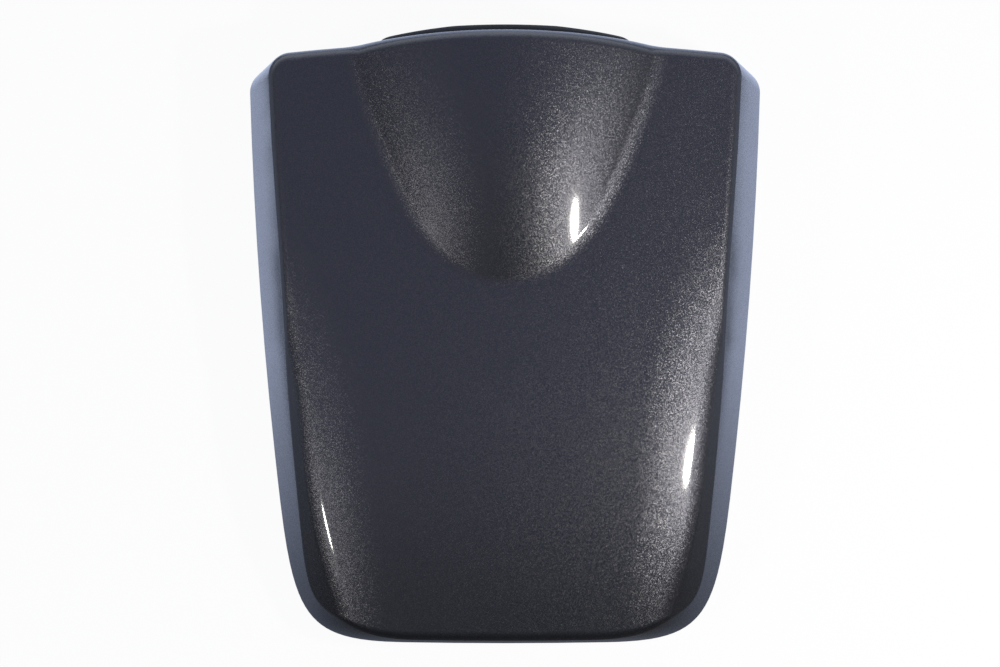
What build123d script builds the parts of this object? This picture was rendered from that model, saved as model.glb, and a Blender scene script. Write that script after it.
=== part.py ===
"""Motorbike seat cowl: the hard cover that takes the place of the pillion seat.

Frame: millimetres, X to the right, Y forwards, Z up. The rim of the shell lies on Z = 0,
and the origin is under the middle of the whole cowl.
"""

import os
from math import asin, cos, radians, sin, sqrt, tan

from build123d import *

# Shell in plan, at the rim
shell_length = 326.5  # rear wall to front wall, on the centre line
front_width = 287.6  # across the front corners, before they are rounded
front_corner_radius = 13.0
waist_width = 253.6  # across the sides, where the rear corners begin
side_bulge = 2.2  # how far each side bows out between those two places
rear_corner_length = 105.0  # from the rear wall to the beginning of a rear corner
rear_straight = 111.0  # width of the rear wall between its corners
rear_corner_side_pull = 90.3  # how long the corner holds the direction of the side
rear_corner_rear_pull = 57.8  # how long it holds the direction of the rear wall
front_bow_radius = 1400.0
rear_bow_radius = 3000.0

# Walls of the shell
wall = 3.0
front_flare = 20.3  # degrees from upright, of the sides at the front
waist_flare = 22.4  # of the sides where the rear corners begin
front_draft = 1.5
rear_draft = 2.0
edge_radius = 7.0  # between the walls and the top

# Crowned top panel, by its heights on the centre line
panel_crown_radius = 1370.0
panel_front_height = 47.5
panel_mid_height = 49.5
panel_mid_from_front = 121.0
panel_waist_height = 48.5
panel_waist_from_rear = 86.5
panel_tail_height = 41.5
panel_tail_from_rear = 42.5
panel_rear_height = 30.0
panel_rear_slope = 18.0  # degrees, falling to the rear

# Shoulders, where the panel rolls off to the sides: how far out they begin, and their radius
shoulder_front_start = 106.0
shoulder_front_radius = 700.0
shoulder_mid_start = 92.0
shoulder_mid_radius = 230.0
shoulder_waist_start = 68.0
shoulder_waist_radius = 104.0
shoulder_tail_start = 64.0
shoulder_tail_radius = 100.0
shoulder_rear_start = 58.0
shoulder_rear_radius = 100.0

# Rolls outside the shoulders, which widen the edge towards the tail: how far out they begin
edge_roll_radius = 24.0
edge_roll_slope = 48.0  # degrees, where a roll ends
roll_front_start = 136.0
roll_mid_start = 117.0
roll_waist_start = 98.0
roll_tail_start = 88.0
roll_rear_start = 74.0

# Hump that grows out of the panel towards the front: heights and radii of its crown
hump_front_height = 75.0
hump_front_radius = 139.0
hump_mid_height = 64.0
hump_mid_radius = 97.0
hump_mid_from_front = 93.0
hump_root_height = 49.0  # where the top of the hump comes out of the panel
hump_root_radius = 102.0
hump_root_from_front = 138.5
hump_root_slope = 21.0  # degrees
hump_front_slope = 4.0
hump_depth = 50.0  # from the top of the hump to the chord that is buried in the panel
hump_blend_radius = 18.0

# Relief in the foot of the front wall, for the frame's tongues
relief_width = 170.0
relief_height = 12.0
relief_corner_radius = 6.0

# Bump pad on the front wall
pad_thickness = 4.5
pad_width = 138.0
pad_top_inset = 9.5  # below the top of the hump
pad_bottom_height = 19.0
pad_corner_share = 0.47  # of the height of the pad's sides
pad_edge_radius = 2.5

# Base tray
tray_bottom_height = 14.0
tray_thickness = 3.0
tray_gap = 1.0  # between the tray and the walls
tray_rear_from_rear = 36.0
tray_corner_radius = 12.0
tray_lip_depth = 5.0
tray_rib_width = 2.0
tray_rib_depth = 4.0
tray_long_rib_spacing = 52.0
tray_front_rib_from_front = 80.0
tray_rear_rib_from_front = 178.0

# Screws, washers and bosses that hold the tray to the shell
screw_rows = 3  # along the sides
screw_front_from_front = 33.0
screw_waist_from_rear = 105.0
screw_from_side = 41.0  # in from the rim
screw_tail_spacing = 112.0
screw_tail_from_rear = 48.0
screw_radius = 1.7
screw_reach = 11.0  # into the boss
screw_head_radius = 3.8
screw_head_height = 2.6
screw_head_edge_radius = 1.2
screw_hole_clearance = 0.25
washer_radius = 5.2
washer_clearance = 0.3
washer_thickness = 1.0
boss_radius = 4.5
pilot_clearance = 0.05
pilot_spare_depth = 1.0
gusset_width = 2.0

# Rubber feet
damper_radius = 9.0
damper_height = 11.0
damper_edge_radius = 1.5
damper_stem_radius = 3.9
damper_stem_clearance = 0.1
damper_barb_radius = 5.5
damper_barb_tip_radius = 3.0
damper_barb_height = 5.0
damper_front_from_front = 52.0
damper_front_spacing = 166.0
damper_rear_from_rear = 76.0
damper_rear_spacing = 150.0

# Lock striker and its pocket
striker_from_rear = 104.0
pocket_length = 44.0  # along Y, outside
pocket_width = 66.0
pocket_wall = 2.5
pocket_top_height = 28.0
pocket_corner_radius = 6.0
plate_length = 34.0
plate_width = 54.0
plate_thickness = 3.0
plate_corner_radius = 4.0
loop_wire_radius = 3.5
loop_span = 26.0  # between the middles of the legs
loop_bend_radius = 8.0
loop_foot_height = 2.0

# Bolts and nuts of the striker
bolt_spacing = 36.0
bolt_radius = 3.0
bolt_hole_clearance = 0.2
bolt_head_flats = 10.0
bolt_head_height = 4.0
bolt_past_nut = 2.0
nut_height = 5.0
nut_clearance = 0.05

# Hook tongues at the front of the tray
hook_spacing = 110.0
hook_width = 24.0
hook_thickness = 3.5
hook_foot_height = 3.0
hook_reach = 2.0  # past the front wall
hook_length = 29.0
hook_tip_radius = 1.2
hook_gusset_length = 14.0
hook_lip_gap = 2.0  # between a hook and the ends of the tray's lip beside it

# Places that follow from the sizes
pad_reach = pad_thickness - (pad_bottom_height + pad_edge_radius) * tan(radians(front_draft))
y_rear = -(shell_length + pad_reach) / 2
y_front = y_rear + shell_length
y_waist = y_rear + rear_corner_length
y_tray_rear = y_rear + tray_rear_from_rear
y_striker = y_rear + striker_from_rear
y_hook_tip = y_front + hook_reach
y_hook_heel = y_hook_tip - hook_length
tray_top_height = tray_bottom_height + tray_thickness
tray_lip_height = tray_bottom_height - tray_lip_depth
washer_height = tray_bottom_height - washer_thickness
plate_top_height = pocket_top_height - pocket_wall
plate_bottom_height = plate_top_height - plate_thickness
nut_top_height = pocket_top_height + nut_height
overrun = 30.0  # how far cutting and joining bodies reach past the walls
form_top = hump_front_height + overrun / 2


def bow_drop(radius, half_width):
    """How far a bow falls back from its middle to its end."""
    return radius - sqrt(radius**2 - half_width**2)


def rim_half_width(y):
    """Half of the rim's width, ahead of the rear corners."""
    y_corner = y_front - bow_drop(front_bow_radius, front_width / 2)
    along = (y - y_waist) / (y_corner - y_waist)
    straight = waist_width + (front_width - waist_width) * along
    return straight / 2 + side_bulge * 4 * along * (1 - along)


def screw_places():
    """Places of the tray's screws: rows along both sides, and a pair at the tail."""
    places = []
    y_first = y_front - screw_front_from_front
    y_last = y_rear + screw_waist_from_rear
    for row in range(screw_rows):
        y = y_first + (y_last - y_first) * row / (screw_rows - 1)
        x = rim_half_width(y) - screw_from_side
        places += [(-x, y), (x, y)]
    y_tail = y_rear + screw_tail_from_rear
    return places + [(-screw_tail_spacing / 2, y_tail), (screw_tail_spacing / 2, y_tail)]


def damper_places():
    """Places of the rubber feet, by name."""
    y_fore = y_front - damper_front_from_front
    y_aft = y_rear + damper_rear_from_rear
    return {
        "rest_damper_front_left": (-damper_front_spacing / 2, y_fore),
        "rest_damper_front_right": (damper_front_spacing / 2, y_fore),
        "rest_damper_rear_left": (-damper_rear_spacing / 2, y_aft),
        "rest_damper_rear_right": (damper_rear_spacing / 2, y_aft),
    }


bolt_places = [(-bolt_spacing / 2, y_striker), (bolt_spacing / 2, y_striker)]


def finish(piece, name):
    """Label a finished piece and write it to its own file."""
    piece.part.label = name
    export_step(piece.part, f"parts/{name}.step")


def plan_outline(height, inset=0.0):
    """Outline of the walls at a height above the rim, moved inwards from the outer face."""
    front_shift = height * tan(radians(front_flare)) + inset / cos(radians(front_flare))
    waist_shift = height * tan(radians(waist_flare)) + inset / cos(radians(waist_flare))
    front_x = front_width / 2 - front_shift
    front_y = y_front - height * tan(radians(front_draft)) - inset
    front_corner_y = front_y - bow_drop(front_bow_radius, front_x)
    waist_x = waist_width / 2 - waist_shift
    rear_x = rear_straight / 2 - waist_shift
    rear_y = y_rear + height * tan(radians(rear_draft)) + inset
    rear_corner_y = rear_y + bow_drop(rear_bow_radius, rear_x)
    side_pull = rear_corner_side_pull - (rear_y - y_rear)
    rear_pull = rear_corner_rear_pull - waist_shift

    with BuildSketch(Plane.XY.offset(height)) as outline:
        with BuildLine():
            ThreePointArc((-front_x, front_corner_y), (0, front_y), (front_x, front_corner_y))
            right = SagittaArc((front_x, front_corner_y), (waist_x, y_waist), side_bulge)
            rear = ThreePointArc((rear_x, rear_corner_y), (0, rear_y), (-rear_x, rear_corner_y))
            left = SagittaArc((-waist_x, y_waist), (-front_x, front_corner_y), side_bulge)
            Bezier(
                right @ 1,
                right @ 1 + right % 1 * side_pull,
                rear @ 0 - rear % 0 * rear_pull,
                rear @ 0,
            )
            Bezier(
                rear @ 1,
                rear @ 1 + rear % 1 * rear_pull,
                left @ 0 - left % 0 * side_pull,
                left @ 0,
            )
        make_face()
        fillet(outline.vertices().group_by(Axis.Y)[-1], front_corner_radius - inset)
    return outline.sketch


def fall_off(start, radius, lean, end_lean):
    """Middle and end of an arc that falls off from a point, from one lean to a steeper one."""
    places = []
    for each in ((lean + end_lean) / 2, end_lean):
        across = radius * (sin(each) - sin(lean))
        down = radius * (cos(lean) - cos(each))
        places.append(Vector(start.X + across, start.Y - down))
    return places


def panel_section(y, height, shoulder_start, shoulder_radius, roll_start, inset):
    """Section across the panel: a crown, and on each side a shoulder and a tighter roll."""
    crown_lean = asin(shoulder_start / panel_crown_radius)
    roll_lean = asin(sin(crown_lean) + (roll_start - shoulder_start) / shoulder_radius)
    end_lean = radians(edge_roll_slope)
    top = Vector(0, height - inset)
    crown_mid, crown_end = fall_off(top, panel_crown_radius - inset, 0, crown_lean)
    shoulder_mid, shoulder_end = fall_off(crown_end, shoulder_radius - inset, crown_lean, roll_lean)
    roll_mid, roll_end = fall_off(shoulder_end, edge_roll_radius - inset, roll_lean, end_lean)
    edge = roll_end + Vector(overrun, -overrun * tan(end_lean))
    corner = Vector(edge.X, -form_top)

    with BuildSketch(Plane.XZ.offset(-y)) as section:
        with BuildLine() as half:
            ThreePointArc(top, crown_mid, crown_end)
            ThreePointArc(crown_end, shoulder_mid, shoulder_end)
            ThreePointArc(shoulder_end, roll_mid, roll_end)
            Polyline(roll_end, edge, corner)
            mirror(half.line, about=Plane.YZ)
            Line(corner, (-corner.X, corner.Y))
        make_face()
    return section.sketch


def panel_stations():
    """Place, height, shoulders and rolls of each section of the panel, past both ends of the shell."""
    rear_fall = overrun * tan(radians(panel_rear_slope))
    front = (panel_front_height, shoulder_front_start, shoulder_front_radius, roll_front_start)
    mid = (panel_mid_height, shoulder_mid_start, shoulder_mid_radius, roll_mid_start)
    waist = (panel_waist_height, shoulder_waist_start, shoulder_waist_radius, roll_waist_start)
    tail = (panel_tail_height, shoulder_tail_start, shoulder_tail_radius, roll_tail_start)
    rear = (panel_rear_height, shoulder_rear_start, shoulder_rear_radius, roll_rear_start)
    return [
        (y_front + overrun, *front),
        (y_front, *front),
        (y_front - panel_mid_from_front, *mid),
        (y_rear + panel_waist_from_rear, *waist),
        (y_rear + panel_tail_from_rear, *tail),
        (y_rear, *rear),
        (y_rear - overrun, panel_rear_height - rear_fall, *rear[1:]),
    ]


def hump_section(y, height, crown_radius, inset):
    """Section across the hump: an arc over the buried chord."""
    radius = crown_radius - inset
    top = height - inset
    half_chord = sqrt(radius**2 - (radius - hump_depth) ** 2)
    with BuildSketch(Plane.XZ.offset(-y)) as section:
        with BuildLine():
            ThreePointArc((-half_chord, top - hump_depth), (0, top), (half_chord, top - hump_depth))
            Line((half_chord, top - hump_depth), (-half_chord, top - hump_depth))
        make_face()
    return section.sketch


def hump_stations():
    """Place, height and crown of each section of the hump, past its front and its root."""
    front_rise = overrun / 2 * tan(radians(hump_front_slope))
    root_fall = overrun * tan(radians(hump_root_slope))
    y_root = y_front - hump_root_from_front
    return [
        (y_front + overrun / 2, hump_front_height + front_rise, hump_front_radius),
        (y_front, hump_front_height, hump_front_radius),
        (y_front - hump_mid_from_front, hump_mid_height, hump_mid_radius),
        (y_root, hump_root_height, hump_root_radius),
        (y_root - overrun, hump_root_height - root_fall, hump_root_radius),
    ]


def top_block(inset=0.0):
    """Solid under the top surface: the crowned panel with the hump blended into it."""
    with BuildPart() as block:
        loft([panel_section(*station, inset) for station in panel_stations()])
        loft([hump_section(*station, inset) for station in hump_stations()])
        seam = block.edges(Select.NEW).sort_by(SortBy.LENGTH)[-1]
        fillet(seam, hump_blend_radius + inset)
    return block.part


def wall_envelope(inset=0.0, foot=0.0):
    """Solid between the walls, from a foot height to above everything."""
    with BuildPart() as envelope:
        loft([plan_outline(foot, inset), plan_outline(form_top, inset)], ruled=True)
    return envelope.part


def is_upright(edge):
    """Whether an edge climbs more than it runs."""
    return abs(edge.tangent_at(0.5).Z) > 0.5


def cowl_form(inset=0.0, foot=0.0):
    """Solid form of the cowl, moved inwards from its outer skin, with rounded edges."""
    with BuildPart() as form:
        add(wall_envelope(inset, foot))
        add(top_block(inset), mode=Mode.INTERSECT)
        walls = form.faces().filter_by(lambda face: abs(face.normal_at().Z) < 0.57)
        crests = walls.edges().filter_by(lambda edge: edge.center().Z > 0 and not is_upright(edge))
        fillet(crests, edge_radius - inset)
    return form.part


os.makedirs("parts", exist_ok=True)

# Shell: the outer form less the inner one, with bosses and gussets for the tray
outer_form = cowl_form()
inner_form = cowl_form(wall, -overrun)

with BuildPart() as stiffeners:
    with BuildSketch(Plane.XY.offset(tray_top_height)):
        with Locations(*screw_places()):
            Circle(boss_radius)
        for x, y in screw_places()[: 2 * screw_rows]:
            reach = screw_from_side if x > 0 else -screw_from_side
            with Locations((x + reach / 2, y)):
                Rectangle(screw_from_side, gusset_width)
    extrude(amount=form_top)
    add(cowl_form(wall / 2), mode=Mode.INTERSECT)

with BuildPart() as cowl_shell:
    add(outer_form)
    add(inner_form, mode=Mode.SUBTRACT)
    add(stiffeners.part)
    with BuildSketch(Plane.XZ.offset(-y_front - overrun)):
        RectangleRounded(relief_width, 2 * relief_height, relief_corner_radius)
    extrude(amount=2 * overrun, mode=Mode.SUBTRACT)
    with BuildSketch(Plane.XY.offset(tray_top_height)):
        with Locations(*screw_places()):
            Circle(screw_radius + pilot_clearance)
    extrude(amount=screw_reach + pilot_spare_depth, mode=Mode.SUBTRACT)
finish(cowl_shell, "cowl_shell")

# Bump pad: seated on the front wall, with a face that follows the wall's bow and draft
pad_arc_radius = hump_front_radius - pad_top_inset
pad_arc_centre = hump_front_height - hump_front_radius
pad_shoulder = pad_arc_centre + sqrt(pad_arc_radius**2 - (pad_width / 2) ** 2)
pad_corner_radius = pad_corner_share * (pad_shoulder - pad_bottom_height)

with BuildPart() as bump_pad:
    with BuildSketch(Plane.XZ.offset(-y_front - overrun)) as pad_face:
        with BuildLine():
            ThreePointArc(
                (-pad_width / 2, pad_shoulder),
                (0, pad_arc_centre + pad_arc_radius),
                (pad_width / 2, pad_shoulder),
            )
            Polyline(
                (pad_width / 2, pad_shoulder),
                (pad_width / 2, pad_bottom_height),
                (-pad_width / 2, pad_bottom_height),
                (-pad_width / 2, pad_shoulder),
            )
        make_face()
        fillet(pad_face.vertices(), pad_corner_radius)
    extrude(amount=2 * overrun)
    add(wall_envelope(-pad_thickness), mode=Mode.INTERSECT)
    add(wall_envelope(), mode=Mode.SUBTRACT)
    fillet(bump_pad.faces().sort_by(Axis.Y)[-1].edges(), pad_edge_radius)
finish(bump_pad, "bump_pad")

# Base tray: a shallow pan with a lip, ribs, a raised pocket and hook tongues
with BuildPart() as tray_blank:
    extrude(plan_outline(tray_top_height, wall + tray_gap), amount=tray_lip_height - tray_top_height)
    split(bisect_by=Plane.XZ.offset(-y_tray_rear), keep=Keep.BOTTOM)
    fillet(tray_blank.edges().filter_by(is_upright).group_by(Axis.Y)[0], tray_corner_radius)

with BuildPart() as tray_ribs:
    with BuildSketch(Plane.XY.offset(tray_bottom_height)):
        with Locations((-tray_long_rib_spacing / 2, 0), (tray_long_rib_spacing / 2, 0)):
            Rectangle(tray_rib_width, 2 * shell_length)
        with Locations((0, y_front - tray_front_rib_from_front), (0, y_front - tray_rear_rib_from_front)):
            Rectangle(front_width, tray_rib_width)
    extrude(amount=-tray_rib_depth)
    add(tray_blank.part, mode=Mode.INTERSECT)

with BuildPart() as base_tray:
    add(tray_blank.part)
    offset(amount=-tray_thickness, openings=base_tray.faces().sort_by(Axis.Z)[0])
    add(tray_ribs.part)

    # Striker pocket
    with BuildSketch(Plane.XY.offset(tray_bottom_height)):
        with Locations((0, y_striker)):
            RectangleRounded(pocket_width, pocket_length, pocket_corner_radius)
    extrude(amount=pocket_top_height - tray_bottom_height)
    with BuildSketch(Plane.XY.offset(plate_top_height)):
        with Locations((0, y_striker)):
            RectangleRounded(
                pocket_width - 2 * pocket_wall,
                pocket_length - 2 * pocket_wall,
                pocket_corner_radius - pocket_wall,
            )
    extrude(amount=-plate_top_height, mode=Mode.SUBTRACT)

    # Hook tongues, and the gaps in the lip ahead of them
    for x in (-hook_spacing / 2, hook_spacing / 2):
        with BuildSketch(Plane.XY.offset(tray_bottom_height)):
            with Locations((x, y_front)):
                Rectangle(hook_width + 2 * hook_lip_gap, 2 * (y_front - y_hook_heel - hook_thickness))
        extrude(amount=-tray_lip_depth, mode=Mode.SUBTRACT)
        with BuildSketch(Plane.YZ.offset(x)) as hook:
            with BuildLine():
                Polyline(
                    (y_hook_heel, tray_top_height),
                    (y_hook_heel, hook_foot_height),
                    (y_hook_tip, hook_foot_height),
                    (y_hook_tip, hook_foot_height + hook_thickness),
                    (y_hook_heel + hook_thickness, hook_foot_height + hook_thickness),
                    (y_hook_heel + hook_thickness, tray_top_height),
                    close=True,
                )
            make_face()
            fillet(hook.vertices().group_by(Axis.X)[-1], hook_tip_radius)
        extrude(amount=hook_width / 2, both=True)
        with BuildSketch(Plane.YZ.offset(x)):
            with BuildLine():
                Polyline(
                    (y_hook_heel, tray_bottom_height),
                    (y_hook_heel, hook_foot_height),
                    (y_hook_heel - hook_gusset_length, tray_bottom_height),
                    close=True,
                )
            make_face()
        extrude(amount=hook_thickness / 2, both=True)

    # Holes for the screws, the feet and the striker's bolts
    with BuildSketch(Plane.XY.offset(tray_bottom_height)):
        with Locations(*screw_places()):
            Circle(screw_radius + screw_hole_clearance)
        with Locations(*damper_places().values()):
            Circle(damper_stem_radius + damper_stem_clearance)
    extrude(amount=tray_thickness, mode=Mode.SUBTRACT)
    with BuildSketch(Plane.XY.offset(plate_top_height)):
        with Locations(*bolt_places):
            Circle(bolt_radius + bolt_hole_clearance)
    extrude(amount=pocket_wall, mode=Mode.SUBTRACT)
finish(base_tray, "base_tray")

# Lock striker: foot plate under the pocket's roof, with a welded loop of round bar
with BuildPart() as latch_striker:
    with BuildSketch(Plane.XY.offset(plate_bottom_height)):
        with Locations((0, y_striker)):
            RectangleRounded(plate_width, plate_length, plate_corner_radius)
        with Locations(*bolt_places):
            Circle(bolt_radius + bolt_hole_clearance, mode=Mode.SUBTRACT)
    extrude(amount=plate_thickness)
    with BuildLine(Plane.YZ) as loop_path:
        FilletPolyline(
            (y_striker - loop_span / 2, plate_top_height - plate_thickness / 2),
            (y_striker - loop_span / 2, loop_foot_height + loop_wire_radius),
            (y_striker + loop_span / 2, loop_foot_height + loop_wire_radius),
            (y_striker + loop_span / 2, plate_top_height - plate_thickness / 2),
            radius=loop_bend_radius,
        )
    with BuildSketch(Plane(loop_path.line @ 0, z_dir=loop_path.line % 0)):
        Circle(loop_wire_radius)
    sweep(path=loop_path.line)
finish(latch_striker, "latch_striker")

# Bolts of the striker
with BuildPart() as striker_bolts:
    with BuildSketch(Plane.XY.offset(plate_bottom_height)):
        with Locations(*bolt_places):
            RegularPolygon(bolt_head_flats / 2, 6, major_radius=False)
    extrude(amount=-bolt_head_height)
    with BuildSketch(Plane.XY.offset(plate_bottom_height)):
        with Locations(*bolt_places):
            Circle(bolt_radius)
    extrude(amount=nut_top_height + bolt_past_nut - plate_bottom_height)
finish(striker_bolts, "striker_bolts")

# Nuts of the striker, on top of the pocket
with BuildPart() as striker_nuts:
    with BuildSketch(Plane.XY.offset(pocket_top_height)):
        with Locations(*bolt_places):
            RegularPolygon(bolt_head_flats / 2, 6, major_radius=False)
            Circle(bolt_radius + nut_clearance, mode=Mode.SUBTRACT)
    extrude(amount=nut_height)
finish(striker_nuts, "striker_nuts")

# Rubber feet, plugged into the tray
for damper_name, (x, y) in damper_places().items():
    with BuildPart() as rest_damper:
        with BuildSketch(Plane.XZ.offset(-y)):
            with BuildLine():
                foot = tray_bottom_height - damper_height
                FilletPolyline(
                    (x, foot),
                    (x + damper_radius, foot),
                    (x + damper_radius, tray_bottom_height),
                    radius=damper_edge_radius,
                )
                Polyline(
                    (x + damper_radius, tray_bottom_height),
                    (x + damper_stem_radius, tray_bottom_height),
                    (x + damper_stem_radius, tray_top_height),
                    (x + damper_barb_radius, tray_top_height),
                    (x + damper_barb_tip_radius, tray_top_height + damper_barb_height),
                    (x, tray_top_height + damper_barb_height),
                    (x, foot),
                )
            make_face()
        revolve(axis=Axis((x, y, 0), (0, 0, 1)))
    finish(rest_damper, damper_name)

# Screws of the tray, driven up into the shell's bosses
with BuildPart() as tray_screws:
    with BuildSketch(Plane.XY.offset(washer_height)):
        with Locations(*screw_places()):
            Circle(screw_head_radius)
    extrude(amount=-screw_head_height)
    fillet(tray_screws.edges().group_by(Axis.Z)[0], screw_head_edge_radius)
    with BuildSketch(Plane.XY.offset(washer_height)):
        with Locations(*screw_places()):
            Circle(screw_radius)
    extrude(amount=tray_top_height + screw_reach - washer_height)
finish(tray_screws, "tray_screws")

# Washers under the screw heads
with BuildPart() as tray_washers:
    with BuildSketch(Plane.XY.offset(washer_height)):
        with Locations(*screw_places()):
            Circle(washer_radius)
            Circle(screw_radius + washer_clearance, mode=Mode.SUBTRACT)
    extrude(amount=washer_thickness)
finish(tray_washers, "tray_washers")
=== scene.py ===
import math

import bmesh
import bpy
import numpy as np
from bpy.props import FloatProperty, FloatVectorProperty, IntProperty, PointerProperty
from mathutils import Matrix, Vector
from mathutils.bvhtree import BVHTree


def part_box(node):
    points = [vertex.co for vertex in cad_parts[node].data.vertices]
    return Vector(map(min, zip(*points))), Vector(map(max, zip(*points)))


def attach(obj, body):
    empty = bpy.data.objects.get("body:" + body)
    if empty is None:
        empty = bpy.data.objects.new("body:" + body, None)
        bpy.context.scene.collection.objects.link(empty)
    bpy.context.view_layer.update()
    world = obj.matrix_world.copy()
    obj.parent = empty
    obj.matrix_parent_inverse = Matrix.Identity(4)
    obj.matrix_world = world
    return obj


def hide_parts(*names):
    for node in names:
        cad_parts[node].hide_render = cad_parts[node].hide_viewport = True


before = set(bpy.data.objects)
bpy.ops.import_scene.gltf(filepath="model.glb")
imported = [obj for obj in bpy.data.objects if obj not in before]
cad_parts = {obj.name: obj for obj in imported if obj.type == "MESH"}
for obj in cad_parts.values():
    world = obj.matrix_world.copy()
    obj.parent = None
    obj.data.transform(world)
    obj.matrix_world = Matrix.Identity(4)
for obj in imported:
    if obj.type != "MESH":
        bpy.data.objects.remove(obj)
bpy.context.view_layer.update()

bl_info = {
    "name": "Seat Cowl Dresser",
    "version": (1, 0, 0),
    "blender": (4, 5, 0),
    "location": "View3D > Sidebar > Seat Cowl",
    "description": "Paints and dresses a motorbike seat cowl on its packed solids",
    "category": "Object",
}

BODY = "root"
FOOT_NODES = (
    "rest_damper_front_left",
    "rest_damper_front_right",
    "rest_damper_rear_left",
    "rest_damper_rear_right",
)

# Sockets that share a name with others of their node, by number
MIX_FIRST = 6
MIX_SECOND = 7
MIX_RESULT = 2
RANDOM_MOST = 3
RANDOM_NUMBER = 1

# Shell
MERGE_DISTANCE = 1e-6
SHORTEST_ROW = 1e-20  # keeps an empty row from a division by zero
SMOOTH_JOIN_ANGLE = math.radians(24)
FEWEST_NEIGHBOURS = 6  # for a curved sheet through them
FIT_SOFTENING = 0.05  # keeps the nearest neighbours from outweighing the rest
FIT_CUTOFF = 1e-3
PAINTED_FACING = -0.1  # faces that look further down than this stay bare
RAY_LIFT = 0.0004  # from a face to the start of its ray
BARE_PLASTIC = (0.028, 0.028, 0.03)
FLAKE_DRIFT = 0.3  # share of the slow drift in how deep a flake lies

# Pad
PAD_CLEARANCE = 0.00008  # between the pad's back and the wall
PAD_FACE_INSET = 0.001  # from the front of the solid to the pad's face
PAD_RAY_START = 0.1  # ahead of the solid
PAD_MERGE_DISTANCE = 1e-5
PAD_OUTLINE_POINTS = 192
PAD_BACK_SHARES = (0.25, 0.5, 0.75, 0.92)
PAD_FACE_SHARES = np.linspace(0.94, 0.06, 16)
PAD_EDGE_ANGLES = np.radians(np.arange(0.0, 91.0, 11.25))

# Feet and fasteners
FOOT_RUBBER = (0.016, 0.016, 0.017)
ROUND_SIDES = 48
SCREW_FILLET_ANGLES = np.radians(np.arange(0.0, 91.0, 15.0))
FASTENER_SHARP_ANGLE = math.radians(32)

# Floor, with a painted cool tint and painted shade in its reflections: the shares of its colour that show
# in reflections, along the cowl and away from its sides
FLOOR_REACH = 6.0
FLOOR_GLOW = 0.95
FLOOR_PAINTED_REFLECTION_TINT = (0.63, 0.73, 1.0)
FLOOR_LENGTH = 0.2  # ahead of and behind the origin
FLOOR_PAINTED_SHADE_LENGTHWISE = ((0.07, 0.02), (0.13, 0.3), (0.33, 0.65), (0.48, 1.0))
FLOOR_SIDE = 0.1
FLOOR_PAINTED_SHADE_SIDEWAYS = ((0.11, 1.0), (0.14, 0.75), (0.17, 0.35), (0.25, 0.17), (0.8, 0.36))
SIDE_PLACE = 0.13  # half of the cowl's width, in its middle
SIDE_TAPER = 0.075  # how much that half grows with each metre forwards

# Surroundings, where a span says where a blend starts and where it ends
CEILING_BEHIND = (0.085, 0.095, 0.115)
CEILING_AHEAD = (0.18, 0.195, 0.29)
CEILING_SPAN = (-0.5, 0.1)
CEILING_HEIGHTS = ((0.0, 0.3), (0.85, 1.0))
BAND_COLOUR = (0.82, 0.88, 1.0, 1.0)
BAND_SLOPE = (0.0, -1.2, 1.0)
BAND_SPAN = (0.1, -0.7)
SIDES_COLOUR = (0.3, 0.34, 0.45, 1.0)
SIDES_SPAN = (0.7, 0.95)
SIDES_HEIGHTS = (0.1, -0.1)

# Lamps and camera
LAMP_COLOUR = (1.0, 0.96, 0.9)
RIGHT_LAMP_PLACE = (0.499, -0.128, 0.477)
RIGHT_LAMP_SIZE = (0.085, 0.034)
LEFT_LAMP_PLACE = (-0.985, -0.445, 0.757)
LEFT_LAMP_SIZE = (0.19, 0.06)
CAMERA_TARGET = (0.0, -0.001, 0.02465)
SENSOR_WIDTH = 36.0
PHOTO_WIDTH = 1000
PHOTO_SHIFT = (-5.0, 4.5)  # pixels


class PaintSettings(bpy.types.PropertyGroup):
    """Finish of the painted shell"""

    flake_dark: FloatVectorProperty(
        name="Dark Flake",
        description="Colour of the flakes that lie deepest in the paint",
        subtype="COLOR",
        default=(0.07, 0.071, 0.082),
        min=0.0,
        max=1.0,
    )
    flake_bright: FloatVectorProperty(
        name="Bright Flake",
        description="Colour of the flakes nearest the surface",
        subtype="COLOR",
        default=(0.11, 0.109, 0.114),
        min=0.0,
        max=1.0,
    )
    flake_size: FloatProperty(
        name="Flake Size",
        description="Width of one metal flake",
        unit="LENGTH",
        default=0.0003,
        min=0.0001,
        max=0.003,
    )
    flake_tilt: FloatProperty(
        name="Flake Tilt",
        description="How far the flakes lean out of the surface",
        default=0.35,
        min=0.0,
        max=1.0,
    )
    flake_roughness: FloatProperty(
        name="Flake Roughness",
        description="How widely the flakes spread a light",
        subtype="FACTOR",
        default=0.39,
        min=0.0,
        max=1.0,
    )
    coat_roughness: FloatProperty(
        name="Coat Roughness",
        description="Haze of the clear coat",
        subtype="FACTOR",
        default=0.08,
        min=0.0,
        max=1.0,
    )


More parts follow.
